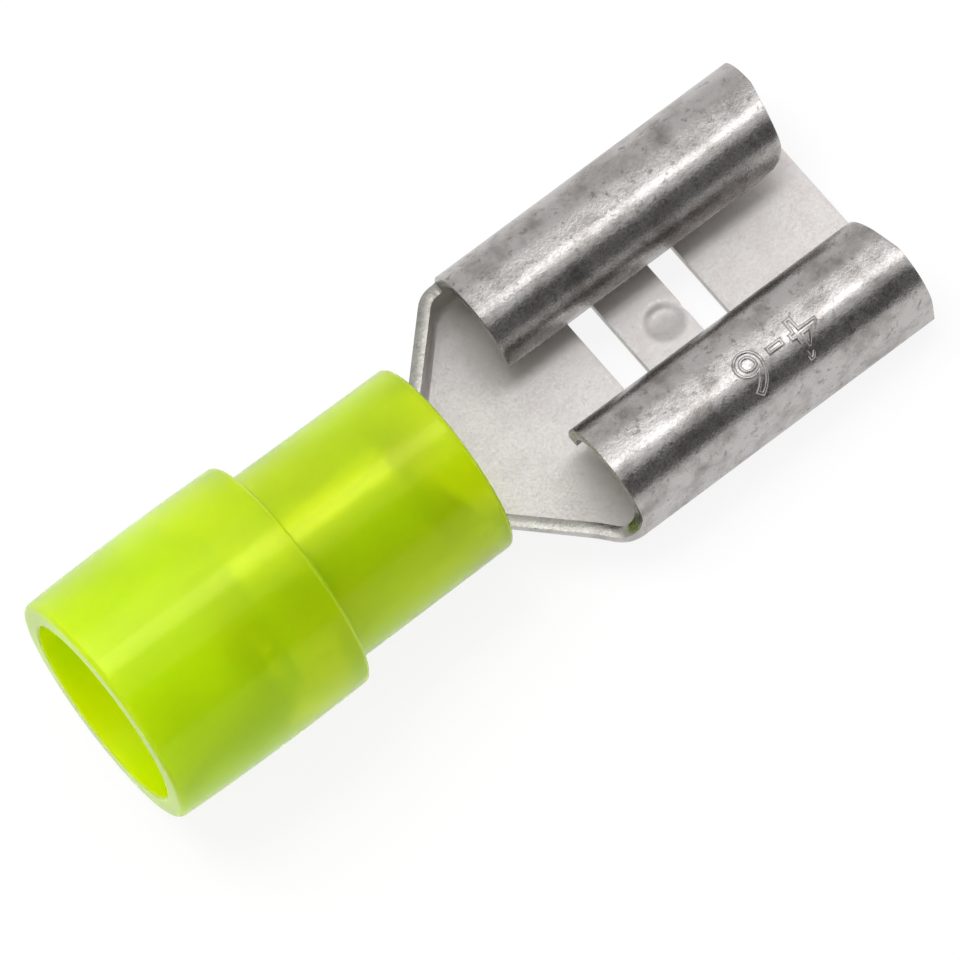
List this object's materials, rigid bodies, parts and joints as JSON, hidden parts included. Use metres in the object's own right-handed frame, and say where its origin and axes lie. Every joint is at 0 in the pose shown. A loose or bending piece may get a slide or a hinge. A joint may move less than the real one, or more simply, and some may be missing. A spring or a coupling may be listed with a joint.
{
  "type": "female spade terminal",
  "caption": "Push-on female spade terminal: folded sheet receptacle with rolled wings, flared neck and wire barrel in a stepped translucent insulating sleeve.",
  "frame": {"origin": "centre of the wire entry at the rear face of the sleeve, on the wire barrel's axis", "axes": "+X along the terminal from the wire entry to the tab entry, +Z away from the receptacle's floor plate, +Y across it"},
  "size_m": [0.0289, 0.0108, 0.0084],
  "materials": {
    "tinned_brass": "satin tin plate over rolled and folded brass sheet, lightly scratched",
    "tinted_nylon": "moulded translucent yellow-green nylon, satin gloss"
  },
  "bodies": {
    "root": {"terminal": "tinned_brass", "insulation_sleeve": "tinted_nylon"}
  },
  "joints": []
}
